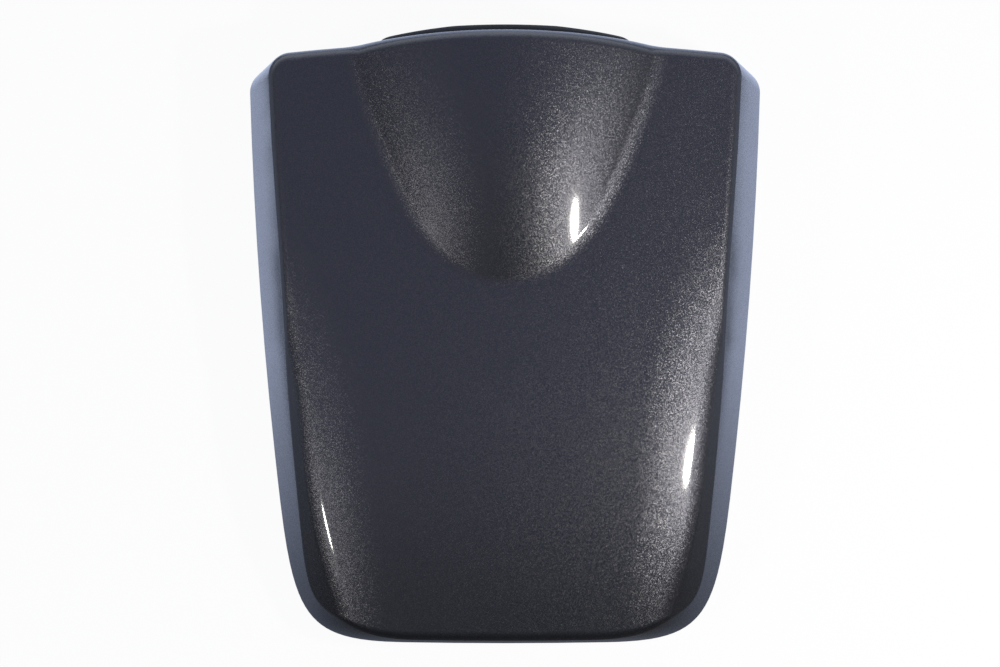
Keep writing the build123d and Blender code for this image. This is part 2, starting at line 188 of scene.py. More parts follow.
class PadSettings(bpy.types.PropertyGroup):
    """Shape and grain of the bump pad"""

    edge_round: FloatProperty(
        name="Edge Round",
        description="How far in from its outline the pad rolls over",
        unit="LENGTH",
        default=0.003,
        min=0.001,
        max=0.012,
    )
    crown: FloatProperty(
        name="Crown",
        description="Share of the thickness that the pad gains from its rolled edge to its middle",
        subtype="FACTOR",
        default=0.12,
        min=0.0,
        max=0.6,
    )
    flat_width: FloatProperty(
        name="Flat Width",
        description="Width of the middle of the pad, outside which it thins out to the sides",
        unit="LENGTH",
        default=0.055,
        min=0.0,
        max=0.13,
    )
    end_share: FloatProperty(
        name="End Share",
        description="Share of the thickness that is left at the pad's two ends",
        subtype="FACTOR",
        default=0.52,
        min=0.05,
        max=1.0,
    )
    grain_size: FloatProperty(
        name="Grain Size",
        description="Width of one pebble of the moulded grain",
        unit="LENGTH",
        default=0.0009,
        min=0.0002,
        max=0.005,
    )
    colour: FloatVectorProperty(
        name="Rubber",
        description="Colour of the pad",
        subtype="COLOR",
        default=(0.026, 0.028, 0.034),
        min=0.0,
        max=1.0,
    )


class UndersideSettings(bpy.types.PropertyGroup):
    """Finish of the tray and its fasteners"""

    plastic: FloatVectorProperty(
        name="Tray Plastic",
        description="Colour of the moulded tray",
        subtype="COLOR",
        default=(0.022, 0.022, 0.024),
        min=0.0,
        max=1.0,
    )
    plating: FloatVectorProperty(
        name="Zinc Plating",
        description="Colour of the plated steel",
        subtype="COLOR",
        default=(0.56, 0.56, 0.54),
        min=0.0,
        max=1.0,
    )
    recess_length: FloatProperty(
        name="Recess Length",
        description="Tip to tip length of the cross recess in a screw head",
        unit="LENGTH",
        default=0.0044,
        min=0.001,
        max=0.006,
    )
    recess_width: FloatProperty(
        name="Recess Width",
        description="Width of one arm of the cross recess",
        unit="LENGTH",
        default=0.0011,
        min=0.0003,
        max=0.002,
    )
    recess_depth: FloatProperty(
        name="Recess Depth",
        description="Depth of the cross recess",
        unit="LENGTH",
        default=0.0015,
        min=0.0003,
        max=0.0024,
    )
    turn_seed: IntProperty(
        name="Turn Seed",
        description="Picks how far each screw is turned home",
        default=7,
        min=0,
    )


class StageSettings(bpy.types.PropertyGroup):
    """Camera and lights"""

    elevation: FloatProperty(
        name="Camera Elevation",
        description="How steeply the camera looks down",
        subtype="ANGLE",
        default=math.radians(82),
        min=0.0,
        max=math.radians(89),
    )
    distance: FloatProperty(
        name="Camera Distance",
        description="From the camera to the middle of the cowl",
        unit="LENGTH",
        default=1.283,
        min=0.3,
        max=5.0,
    )
    lens: FloatProperty(
        name="Lens",
        description="Focal length on a sensor 36 mm wide",
        unit="CAMERA",
        default=85.0,
        min=20.0,
        max=200.0,
    )
    right_power: FloatProperty(
        name="Right Lamp",
        description="Power of the lamp on the right",
        subtype="POWER",
        default=2.9,
        min=0.0,
    )
    left_power: FloatProperty(
        name="Left Lamp",
        description="Power of the lamp on the left",
        subtype="POWER",
        default=3.4,
        min=0.0,
    )
    floor_colour: FloatVectorProperty(
        name="Floor",
        description="Colour of the floor",
        subtype="COLOR",
        default=(0.9, 0.91, 0.93),
        min=0.0,
        max=1.0,
    )


# Nodes

def feed(tree, value, socket):
    """Link an output to a socket, or set the socket's plain value."""
    if isinstance(value, bpy.types.NodeSocket):
        tree.links.new(value, socket)
    else:
        socket.default_value = value


def add_node(tree, kind, inputs=None, **settings):
    """Add a node, set its options and feed its inputs."""
    node = tree.nodes.new(kind)
    for key, value in settings.items():
        setattr(node, key, value)
    for key, value in (inputs or {}).items():
        feed(tree, value, node.inputs[key])
    return node


def place_node(tree):
    """Output that gives a point's place on the object."""
    return add_node(tree, "ShaderNodeTexCoord").outputs["Object"]


def noise_node(tree, place, scale, detail, roughness=0.5):
    """Soft random clouds."""
    inputs = {"Vector": place, "Scale": scale, "Detail": detail, "Roughness": roughness}
    return add_node(tree, "ShaderNodeTexNoise", inputs).outputs["Fac"]


def cell_node(tree, place, size, feature="F1"):
    """Random cells of a given size."""
    inputs = {"Vector": place, "Scale": 1.0 / size}
    return add_node(tree, "ShaderNodeTexVoronoi", inputs, feature=feature).outputs


def math_node(tree, operation, *inputs):
    """Result of a sum on outputs or plain numbers."""
    return add_node(tree, "ShaderNodeMath", dict(enumerate(inputs)), operation=operation).outputs["Value"]


def vector_node(tree, operation, inputs):
    """Result of a sum on vectors."""
    return add_node(tree, "ShaderNodeVectorMath", inputs, operation=operation).outputs["Vector"]


def spread_node(tree, source, start, end):
    """A source spread from 0 at its start to 1 at its end."""
    inputs = {"Value": source, "From Min": start, "From Max": end}
    return add_node(tree, "ShaderNodeMapRange", inputs).outputs["Result"]


def mix_node(tree, share, first, second, blend="MIX"):
    """Two colours mixed or multiplied."""
    inputs = {"Factor": share, MIX_FIRST: first, MIX_SECOND: second}
    return add_node(tree, "ShaderNodeMix", inputs, data_type="RGBA", blend_type=blend).outputs[MIX_RESULT]


def ramp_node(tree, source, stops):
    """Colour ramp on a source, with stops of position and colour."""
    ramp = add_node(tree, "ShaderNodeValToRGB", {"Fac": source})
    elements = ramp.color_ramp.elements
    while len(elements) < len(stops):
        elements.new(0.5)
    for element, (position, colour) in zip(elements, stops):
        element.position = position
        element.color = (*colour, 1.0)
    return ramp.outputs["Color"]


def grey_ramp(tree, source, stops):
    """Ramp of plain shares."""
    return ramp_node(tree, source, [(position, (share, share, share)) for position, share in stops])


def tint_ramp(tree, source, colour, stops):
    """Ramp of one colour made lighter or darker."""
    return ramp_node(tree, source, [(position, tint(colour, share)) for position, share in stops])


def tint(colour, share):
    """A colour made lighter or darker."""
    return tuple(min(1.0, share * channel) for channel in colour)


# Materials

def new_material(name):
    """A node material, its tree and its Principled shader."""
    material = bpy.data.materials.new(name)
    material.use_nodes = True
    tree = material.node_tree
    return material, tree, tree.nodes["Principled BSDF"]


def set_shader(tree, shader, inputs):
    """Feed a shader's inputs."""
    for key, value in inputs.items():
        feed(tree, value, shader.inputs[key])


def bump_node(tree, height, distance, strength):
    """Surface direction driven by a height."""
    inputs = {"Height": height, "Distance": distance, "Strength": strength}
    return add_node(tree, "ShaderNodeBump", inputs).outputs["Normal"]


def flake_paint(settings):
    """Charcoal metal flake under a glossy clear coat."""
    material, tree, shader = new_material("charcoal_flake_paint")
    place = place_node(tree)
    flakes = cell_node(tree, place, settings.flake_size)

    # Each flake leans its own way
    lean = vector_node(tree, "SUBTRACT", {0: flakes["Color"], 1: (0.5, 0.5, 0.5)})
    reach = vector_node(tree, "SCALE", {0: lean, "Scale": settings.flake_tilt})
    surface = add_node(tree, "ShaderNodeNewGeometry").outputs["Normal"]
    facing = vector_node(tree, "NORMALIZE", {0: vector_node(tree, "ADD", {0: surface, 1: reach})})

    # Some flakes lie deeper in the paint than others, with slow drifts in how thickly they lie
    drift = noise_node(tree, place, scale=28.0, detail=2.0)
    chance = add_node(tree, "ShaderNodeSeparateColor", {"Color": flakes["Color"]}).outputs["Red"]
    depth = math_node(tree, "MULTIPLY_ADD", drift, FLAKE_DRIFT, chance)
    dark, bright = tuple(settings.flake_dark), tuple(settings.flake_bright)
    set_shader(tree, shader, {
        "Base Color": ramp_node(tree, depth, [(0.2, dark), (0.85, tint(dark, 1.3)), (1.0, bright)]),
        "Normal": facing,
        "Metallic": 0.92,
        "Roughness": settings.flake_roughness,
        "Coat Weight": 1.0,
        "Coat Roughness": settings.coat_roughness,
        "Coat IOR": 1.6,
    })
    return material


def grained_plastic(name, colour, grain_size, roughness):
    """Moulded plastic with a fine spark grain and slightly uneven colour."""
    material, tree, shader = new_material(name)
    place = place_node(tree)
    grain = cell_node(tree, place, grain_size, "SMOOTH_F1")["Distance"]
    flow = noise_node(tree, place, scale=18.0, detail=5.0, roughness=0.6)
    set_shader(tree, shader, {
        "Base Color": tint_ramp(tree, flow, colour, [(0.3, 0.8), (0.7, 1.25)]),
        "Roughness": grey_ramp(tree, flow, [(0.3, roughness - 0.06), (0.7, roughness + 0.06)]),
        "Normal": bump_node(tree, grain, distance=0.15 * grain_size, strength=0.6),
    })
    return material


def pebbled_rubber(name, colour, grain_size):
    """Matt rubber with a pebbled moulded grain and a faint bloom."""
    material, tree, shader = new_material(name)
    place = place_node(tree)
    pebbles = cell_node(tree, place, grain_size)["Distance"]
    bloom = noise_node(tree, place, scale=40.0, detail=6.0, roughness=0.65)
    set_shader(tree, shader, {
        "Base Color": tint_ramp(tree, bloom, colour, [(0.32, 0.85), (0.62, 1.1), (0.8, 1.5)]),
        "Roughness": grey_ramp(tree, bloom, [(0.3, 0.58), (0.75, 0.74)]),
        "Normal": bump_node(tree, pebbles, distance=-0.2 * grain_size, strength=0.7),
    })
    return material


def plated_steel(name, colour, streak):
    """Zinc plated steel, slightly clouded, with fine streaks along one axis."""
    material, tree, shader = new_material(name)
    place = place_node(tree)
    cloud = noise_node(tree, place, scale=260.0, detail=5.0, roughness=0.6)
    stretch = add_node(tree, "ShaderNodeMapping", {"Vector": place, "Scale": streak}).outputs["Vector"]
    lines = noise_node(tree, stretch, scale=900.0, detail=3.0)
    set_shader(tree, shader, {
        "Base Color": tint_ramp(tree, cloud, colour, [(0.3, 0.78), (0.55, 1.0), (0.8, 1.12)]),
        "Roughness": grey_ramp(tree, lines, [(0.35, 0.26), (0.7, 0.42)]),
        "Metallic": 1.0,
        "Normal": bump_node(tree, lines, distance=0.00004, strength=0.35),
    })
    return material


# Meshes

def mesh_arrays(mesh):
    """Points and triangles of a mesh."""
    points = np.empty(3 * len(mesh.vertices))
    mesh.vertices.foreach_get("co", points)
    corners = np.empty(len(mesh.loops), dtype=np.int32)
    mesh.loops.foreach_get("vertex_index", corners)
    return points.reshape(-1, 3), corners.reshape(-1, 3)


def merged_places(points):
    """Points without their doubles, and where each point went."""
    keys = np.round(points / MERGE_DISTANCE).astype(np.int64)
    _, first, target = np.unique(keys, axis=0, return_index=True, return_inverse=True)
    return points[first], target.reshape(-1)


def island_labels(count, triangles):
    """The lowest point that each point is joined to by triangles."""
    labels = np.arange(count)
    while True:
        lowest = labels[triangles].min(axis=1)
        fresh = labels.copy()
        for corner in range(3):
            np.minimum.at(fresh, triangles[:, corner], lowest)
        fresh = fresh[fresh]
        if np.array_equal(fresh, labels):
            return labels
        labels = fresh


def facet_directions(points, triangles):
    """Outward direction of each triangle, as long as twice its area."""
    first, second, third = (points[triangles[:, corner]] for corner in range(3))
    return np.cross(second - first, third - first)


def unit_rows(rows):
    """Rows scaled to length one."""
    return rows / np.maximum(np.linalg.norm(rows, axis=1, keepdims=True), SHORTEST_ROW)


def point_neighbours(count, triangles):
    """The points that share a triangle with each point."""
    near = [set() for _ in range(count)]
    for a, b, c in triangles.tolist():
        near[a].update((b, c))
        near[b].update((a, c))
        near[c].update((a, b))
    return near


def sheet_normal(up, offsets):
    """Direction of a curved sheet fitted through a point's neighbours."""
    side = np.cross(up, np.eye(3)[np.argmin(np.abs(up))])
    side /= np.linalg.norm(side)
    along = np.cross(up, side)
    scale = np.sqrt((offsets**2).sum(axis=1).mean())
    u, v, height = offsets @ side / scale, offsets @ along / scale, offsets @ up / scale
    weight = 1.0 / (u * u + v * v + FIT_SOFTENING)
    terms = np.stack([u, v, u * u, u * v, v * v], axis=1) * weight[:, None]
    slope = np.linalg.lstsq(terms, height * weight, rcond=FIT_CUTOFF)[0]
    return up - slope[0] * side - slope[1] * along


def fitted_normals(points, triangles):
    """Direction of the surface at each point, from its neighbours and their neighbours."""
    normals = np.zeros_like(points)
    facets = facet_directions(points, triangles)
    for corner in range(3):
        np.add.at(normals, triangles[:, corner], facets)
    normals = unit_rows(normals)
    near = point_neighbours(len(points), triangles)
    fitted = normals.copy()
    for index, ring in enumerate(near):
        around = set(ring).union(*(near[other] for other in ring))
        around.discard(index)
        if len(around) >= FEWEST_NEIGHBOURS:
            fitted[index] = sheet_normal(normals[index], points[list(around)] - points[index])
    return unit_rows(fitted)


def joined_normals(normals, target):
    """Normals averaged where moulded faces meet smoothly, and kept apart at sharp edges."""
    order = np.argsort(target, kind="stable")
    starts = np.flatnonzero(np.r_[True, np.diff(target[order]) > 0])
    joined = normals.copy()
    limit = math.cos(SMOOTH_JOIN_ANGLE)
    for group in np.split(order, starts[1:]):
        if len(group) > 1:
            alike = normals[group] @ normals[group].T > limit
            joined[group] = unit_rows(alike @ normals[group])
    return joined


def outside_faces(points, triangles):
    """Which triangles of the shell face the open air above it."""
    tree = BVHTree.FromPolygons(points.tolist(), triangles.tolist())
    facing = unit_rows(facet_directions(points, triangles))
    middles = points[triangles].mean(axis=1)
    outside = np.zeros(len(triangles), dtype=bool)
    for index in np.flatnonzero(facing[:, 2] > PAINTED_FACING):
        start = Vector(middles[index] + RAY_LIFT * facing[index])
        outside[index] = tree.ray_cast(start, Vector(facing[index]))[0] is None
    return outside


def add_object(name, mesh, materials):
    """Put a mesh in the scene at the origin, with its materials."""
    piece = bpy.data.objects.new(name, mesh)
    bpy.context.scene.collection.objects.link(piece)
    mesh.materials.clear()
    for material in materials:
        mesh.materials.append(material)
    return piece


def dress_node(name, material):
    """Give a carried-over solid its material."""
    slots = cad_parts[name].data.materials
    slots.clear()
    slots.append(material)


def shell_mesh():
    """Copy of the shell's solid, its doubles merged, with the true slope at each point."""
    points, triangles = mesh_arrays(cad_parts["cowl_shell"].data)
    places, target = merged_places(points)
    normals = joined_normals(fitted_normals(points, triangles), target)
    merged = target[triangles]
    whole = (merged != np.roll(merged, 1, axis=1)).all(axis=1)
    merged, corners = merged[whole], triangles[whole]
    mesh = bpy.data.meshes.new("painted_shell")
    mesh.from_pydata(places.tolist(), [], merged.tolist())
    mesh.polygons.foreach_set("use_smooth", np.ones(len(merged), dtype=bool))
    bare = ~outside_faces(places, merged)
    mesh.polygons.foreach_set("material_index", bare.astype(np.int32))
    mesh.normals_split_custom_set(normals[corners.reshape(-1)].tolist())
    return mesh


def pad_outline(count):
    """Outline of the pad's solid across the front wall, as evenly spaced points."""
    points, _ = mesh_arrays(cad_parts["bump_pad"].data)
    flat = bmesh.new()
    for x, _, z in points:
        flat.verts.new((x, 0.0, z))
    bmesh.ops.remove_doubles(flat, verts=flat.verts, dist=PAD_MERGE_DISTANCE)
    hull = bmesh.ops.convex_hull(flat, input=flat.verts)
    rim = np.array([vert.co[:] for vert in hull["geom"] if isinstance(vert, bmesh.types.BMVert)])
    flat.free()
    middle = rim.mean(axis=0)
    turn = np.argsort(np.arctan2(rim[:, 2] - middle[2], rim[:, 0] - middle[0]))
    loop = rim[turn][:, [0, 2]]
    loop = np.vstack([loop, loop[:1]])
    run = np.r_[0.0, np.cumsum(np.linalg.norm(np.diff(loop, axis=0), axis=1))]
    steps = np.linspace(0.0, run[-1], count, endpoint=False)
    return np.stack([np.interp(steps, run, loop[:, axis]) for axis in range(2)], axis=1)


def pad_rings(outline, settings):
    """Rings of the pad from the middle of its back to the middle of its face: places and depths.

    A depth is a share of the pad's thickness at that place.
    """
    middle = outline.mean(axis=0)
    ahead = np.roll(outline, -1, axis=0) - np.roll(outline, 1, axis=0)
    inward = np.stack([-ahead[:, 1], ahead[:, 0]], axis=1)
    inward /= np.linalg.norm(inward, axis=1, keepdims=True)
    edge_depth = 1.0 - settings.crown
    rings = []
    for share in PAD_BACK_SHARES:
        rings.append((middle + (outline - middle) * share, 0.0))
    for angle in PAD_EDGE_ANGLES:
        shift = settings.edge_round * (1.0 - math.cos(angle))
        rings.append((outline + inward * shift, edge_depth * math.sin(angle)))
    inner = outline + inward * settings.edge_round
    for share in PAD_FACE_SHARES:
        rise = settings.crown * (1.0 - share**2)
        rings.append((middle + (inner - middle) * share, edge_depth + rise))
    return middle, rings


def pad_mesh(settings):
    """Rubber pad on the shell's front wall, in the space of its solid, thinner towards its ends."""
    wall_points, wall_triangles = mesh_arrays(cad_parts["cowl_shell"].data)
    wall = BVHTree.FromPolygons(wall_points.tolist(), wall_triangles.tolist())
    low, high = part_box("bump_pad")
    start = high[1] + PAD_RAY_START
    face_place = high[1] - PAD_FACE_INSET
    half_width = (high[0] - low[0]) / 2
    flat = settings.flat_width / 2

    def on_wall(x, z, depth):
        """Point of the pad at a share of its thickness there."""
        hit = wall.ray_cast(Vector((x, start, z)), Vector((0.0, -1.0, 0.0)))[0]
        if hit is None:
            raise RuntimeError("the bump pad reaches past the front wall")
        outwards = min(1.0, max(0.0, (abs(x) - flat) / (half_width - flat)))
        thickness = (face_place - hit.y) * (1.0 - (1.0 - settings.end_share) * outwards)
        return (x, hit.y + PAD_CLEARANCE + depth * thickness, z)

    middle, rings = pad_rings(pad_outline(PAD_OUTLINE_POINTS), settings)
    pad = bmesh.new()
    loops = []
    for places, depth in rings:
        loops.append([pad.verts.new(on_wall(x, z, depth)) for x, z in places])
    back = pad.verts.new(on_wall(*middle, 0.0))
    face = pad.verts.new(on_wall(*middle, 1.0))
    for inner, outer in zip(loops, loops[1:]):
        for index in range(len(inner)):
            following = (index + 1) % len(inner)
            pad.faces.new((inner[index], inner[following], outer[following], outer[index]))
    for tip, loop in ((back, loops[0]), (face, loops[-1])):
        for index in range(len(loop)):
            pad.faces.new((tip, loop[index], loop[(index + 1) % len(loop)]))
    mesh = finished_mesh("bump_pad_rubber", pad)
    mesh.shade_smooth()
    return mesh


def finished_mesh(name, body):
    """Mesh of an edited body, with its faces turned outwards."""
    bmesh.ops.recalc_face_normals(body, faces=body.faces)
    mesh = bpy.data.meshes.new(name)
    body.to_mesh(mesh)
    body.free()
    return mesh


def solid_centres(name):
    """Centre of each loose solid of a node."""
    points, triangles = mesh_arrays(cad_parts[name].data)
    places, target = merged_places(points)
    labels = island_labels(len(places), target[triangles])
    centres = []
    for label in np.unique(labels):
        group = places[labels == label]
        centres.append((group.min(axis=0) + group.max(axis=0)) / 2)
    return centres


def turned_mesh(name, profile):
    """Mesh turned from a profile of radius and height, with shared ends on the axis."""
    body = bmesh.new()
    rings = []
    for radius, height in profile:
        if radius == 0.0:
            rings.append([body.verts.new((0.0, 0.0, height))] * ROUND_SIDES)
            continue
        ring = []
        for index in range(ROUND_SIDES):
            angle = 2.0 * math.pi * index / ROUND_SIDES
            ring.append(body.verts.new((radius * math.cos(angle), radius * math.sin(angle), height)))
        rings.append(ring)
    for lower, upper in zip(rings, rings[1:]):
        for index in range(ROUND_SIDES):
            following = (index + 1) % ROUND_SIDES
            around = (lower[index], lower[following], upper[following], upper[index])
            body.faces.new(tuple(dict.fromkeys(around)))
    return finished_mesh(name, body)


def screw_profile(head_low, seat, tip):
    """Profile of a pan head tapping screw, head down."""
    head, shank, fillet, chamfer = 0.0038, 0.0017, 0.0012, 0.0006
    profile = [(0.0, head_low)]
    for angle in SCREW_FILLET_ANGLES:
        across = head - fillet + fillet * math.sin(angle)
        profile.append((across, head_low + fillet - fillet * math.cos(angle)))
    profile += [(head, seat), (shank, seat), (shank, tip - chamfer), (shank - chamfer, tip), (0.0, tip)]
    return profile


def washer_profile(low, high):
    """Profile of a flat washer with softened edges."""
    outer, inner, soft = 0.0052, 0.002, 0.00012
    return [
        (inner, low),
        (outer - soft, low),
        (outer, low + soft),
        (outer, high - soft),
        (outer - soft, high),
        (inner, high),
        (inner, low),
    ]


def recessed_screw(tree, given):
    """A screw with a cross cut into its head."""
    screw = add_node(tree, "GeometryNodeObjectInfo", {"Object": given["Screw"]}).outputs["Geometry"]
    recess = add_node(tree, "GeometryNodeMeshBoolean", {"Mesh 1": screw}, operation="DIFFERENCE")
    depth = math_node(tree, "MULTIPLY", given["Recess Depth"], 2.0)
    at = add_node(tree, "ShaderNodeCombineXYZ", {"Z": given["Head Bottom"]}).outputs["Vector"]
    for long_axis, short_axis in (("X", "Y"), ("Y", "X")):
        sizes = {long_axis: given["Recess Length"], short_axis: given["Recess Width"], "Z": depth}
        size = add_node(tree, "ShaderNodeCombineXYZ", sizes).outputs["Vector"]
        arm = add_node(tree, "GeometryNodeMeshCube", {"Size": size}).outputs["Mesh"]
        moved = add_node(tree, "GeometryNodeTransform", {"Geometry": arm, "Translation": at})
        feed(tree, moved.outputs["Geometry"], recess.inputs["Mesh 2"])
    return recess.outputs["Mesh"]


def fastener_tree():
    """Node tree that puts a recessed screw and its washer on each point."""
    tree = bpy.data.node_groups.new("cowl_fasteners", "GeometryNodeTree")
    for name, kind in (
        ("Places", "NodeSocketGeometry"),
        ("Screw", "NodeSocketObject"),
        ("Washer", "NodeSocketObject"),
        ("Recess Length", "NodeSocketFloat"),
        ("Recess Width", "NodeSocketFloat"),
        ("Recess Depth", "NodeSocketFloat"),
        ("Head Bottom", "NodeSocketFloat"),
        ("Turn Seed", "NodeSocketInt"),
        ("Finish", "NodeSocketMaterial"),
    ):
        tree.interface.new_socket(name, in_out="INPUT", socket_type=kind)
    tree.interface.new_socket("Fasteners", in_out="OUTPUT", socket_type="NodeSocketGeometry")
    given = add_node(tree, "NodeGroupInput").outputs

    # Each screw is turned home by its own share of a quarter turn
    chance = {RANDOM_MOST: math.pi / 2, "Seed": given["Turn Seed"]}
    turn = add_node(tree, "FunctionNodeRandomValue", chance, data_type="FLOAT").outputs[RANDOM_NUMBER]
    spin = add_node(tree, "ShaderNodeCombineXYZ", {"Z": turn}).outputs["Vector"]
    at_places = {"Points": given["Places"], "Instance": recessed_screw(tree, given), "Rotation": spin}
    screws = add_node(tree, "GeometryNodeInstanceOnPoints", at_places).outputs["Instances"]
    washer = add_node(tree, "GeometryNodeObjectInfo", {"Object": given["Washer"]}).outputs["Geometry"]
    at_places = {"Points": given["Places"], "Instance": washer}
    washers = add_node(tree, "GeometryNodeInstanceOnPoints", at_places).outputs["Instances"]

    both = add_node(tree, "GeometryNodeJoinGeometry")
    for instances in (screws, washers):
        feed(tree, instances, both.inputs["Geometry"])
    real = add_node(tree, "GeometryNodeRealizeInstances", {"Geometry": both.outputs["Geometry"]})
    finish = {"Geometry": real.outputs["Geometry"], "Material": given["Finish"]}
    finished = add_node(tree, "GeometryNodeSetMaterial", finish).outputs["Geometry"]
    add_node(tree, "NodeGroupOutput", {"Fasteners": finished})
    return tree


def evaluated_mesh(piece, name):
    """Plain mesh of an object with its modifiers applied."""
    depsgraph = bpy.context.evaluated_depsgraph_get()
    mesh = bpy.data.meshes.new_from_object(piece.evaluated_get(depsgraph), depsgraph=depsgraph)
    mesh.name = name
    return mesh


# Operators

class COWL_OT_paint_shell(bpy.types.Operator):
    """Make the painted shell, bare plastic on its inner side"""

    bl_idname = "cowl.paint_shell"
    bl_label = "Painted Shell"

    def execute(self, context):
        """Copy the shell's solid and paint its outside."""
        paint = flake_paint(context.scene.cowl_paint)
        bare = grained_plastic("bare_shell_plastic", BARE_PLASTIC, grain_size=0.0012, roughness=0.42)
        piece = add_object("painted_shell", shell_mesh(), [paint, bare])
        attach(piece, BODY)
        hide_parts("cowl_shell")
        return {"FINISHED"}


class COWL_OT_bump_pad(bpy.types.Operator):
    """Make the rubber pad on the front wall"""

    bl_idname = "cowl.bump_pad"
    bl_label = "Bump Pad"

    def execute(self, context):
        """Lay the pad on the wall in place of its solid."""
        settings = context.scene.cowl_pad
        rubber = pebbled_rubber("pad_rubber", tuple(settings.colour), settings.grain_size)
        piece = add_object("bump_pad_rubber", pad_mesh(settings), [rubber])
        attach(piece, BODY)
        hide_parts("bump_pad")
        return {"FINISHED"}


class COWL_OT_tray(bpy.types.Operator):
    """Finish the moulded tray that closes the underside"""

    bl_idname = "cowl.tray"
    bl_label = "Base Tray"

    def execute(self, context):
        """Give the tray its plastic."""
        colour = tuple(context.scene.cowl_underside.plastic)
        dress_node("base_tray", grained_plastic("tray_plastic", colour, grain_size=0.0007, roughness=0.56))
        return {"FINISHED"}


class COWL_OT_feet(bpy.types.Operator):
    """Finish the rubber feet"""

    bl_idname = "cowl.feet"
    bl_label = "Rubber Feet"

    def execute(self, context):
        """Give the four feet their rubber."""
        rubber = pebbled_rubber("foot_rubber", FOOT_RUBBER, grain_size=0.0005)
        for name in FOOT_NODES:
            dress_node(name, rubber)
        return {"FINISHED"}


class COWL_OT_striker(bpy.types.Operator):
    """Finish the lock striker, its bolts and nuts"""

    bl_idname = "cowl.striker"
    bl_label = "Lock Striker"

    def execute(self, context):
        """Give the striker and its hardware their plating."""
        plating = tuple(context.scene.cowl_underside.plating)
        steel = plated_steel("striker_steel", tint(plating, share=0.85), streak=(0.2, 1.0, 1.0))
        dress_node("latch_striker", steel)
        hardware = plated_steel("bolt_plating", plating, streak=(1.0, 1.0, 0.15))
        dress_node("striker_bolts", hardware)
        dress_node("striker_nuts", hardware)
        return {"FINISHED"}


class COWL_OT_screws(bpy.types.Operator):
    """Make the tray's screws with their cross recesses, and their washers"""

    bl_idname = "cowl.screws"
    bl_label = "Screws and Washers"

    def execute(self, context):
        """Put a screw and a washer where each screw's solid stands."""
        settings = context.scene.cowl_underside
        plating = plated_steel("screw_plating", tuple(settings.plating), streak=(1.0, 1.0, 1.0))
        low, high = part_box("tray_screws")
        washer_low, washer_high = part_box("tray_washers")
        profile = screw_profile(low[2], washer_low[2], high[2])
        screw = add_object("screw_pattern", turned_mesh("screw_pattern", profile), [plating])
        flat = washer_profile(washer_low[2], washer_high[2])
        washer = add_object("washer_pattern", turned_mesh("washer_pattern", flat), [plating])
        places = bpy.data.meshes.new("screw_places")
        places.from_pydata([(centre[0], centre[1], 0.0) for centre in solid_centres("tray_screws")], [], [])
        holder = add_object("screw_places", places, [])

        modifier = holder.modifiers.new("fasteners", "NODES")
        modifier.node_group = fastener_tree()
        given = {
            "Screw": screw,
            "Washer": washer,
            "Recess Length": settings.recess_length,
            "Recess Width": settings.recess_width,
            "Recess Depth": settings.recess_depth,
            "Head Bottom": low[2],
            "Turn Seed": settings.turn_seed,
            "Finish": plating,
        }
        for item in modifier.node_group.interface.items_tree:
            if item.in_out == "INPUT" and item.name in given:
                modifier[item.identifier] = given[item.name]
        mesh = evaluated_mesh(holder, "tray_fasteners")
        if not mesh.polygons:
            raise RuntimeError("no screws were made")
        for spare in (holder, screw, washer):
            bpy.data.objects.remove(spare)
        mesh.shade_smooth()
        mesh.set_sharp_from_angle(angle=FASTENER_SHARP_ANGLE)
        piece = add_object("tray_fasteners", mesh, [plating])
        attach(piece, BODY)
        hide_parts("tray_screws", "tray_washers")
        return {"FINISHED"}


class COWL_OT_stage(bpy.types.Operator):
    """Set up the floor, the lights and the camera"""

    bl_idname = "cowl.stage"
    bl_label = "Stage"

    def execute(self, context):
        """Make the stage around the cowl."""
        settings = context.scene.cowl_stage
        context.scene.view_settings.view_transform = "Standard"
        add_floor(settings)
        add_world()
        add_lamp("right_lamp", RIGHT_LAMP_PLACE, RIGHT_LAMP_SIZE, settings.right_power)
        add_lamp("left_lamp", LEFT_LAMP_PLACE, LEFT_LAMP_SIZE, settings.left_power)
        add_camera(settings)
        return {"FINISHED"}


# Stage

def floor_reflection_with_painted_shade(tree):
    """Painted reflection of the floor: a cool tint, with painted shade falling off towards the tail and
    away from the sides.
    """
    split = add_node(tree, "ShaderNodeSeparateXYZ", {"Vector": place_node(tree)}).outputs
    along = spread_node(tree, split["Y"], -FLOOR_LENGTH, FLOOR_LENGTH)
    painted_shade_lengthwise = tint_ramp(tree, along, FLOOR_PAINTED_REFLECTION_TINT, FLOOR_PAINTED_SHADE_LENGTHWISE)
    across = math_node(tree, "ABSOLUTE", split["X"])
    from_middle = math_node(tree, "MULTIPLY_ADD", split["Y"], -SIDE_TAPER, across)
    outwards = spread_node(tree, from_middle, SIDE_PLACE, SIDE_PLACE + FLOOR_SIDE)
    painted_shade_sideways = grey_ramp(tree, outwards, FLOOR_PAINTED_SHADE_SIDEWAYS)
    return mix_node(tree, 1.0, painted_shade_lengthwise, painted_shade_sideways, "MULTIPLY")


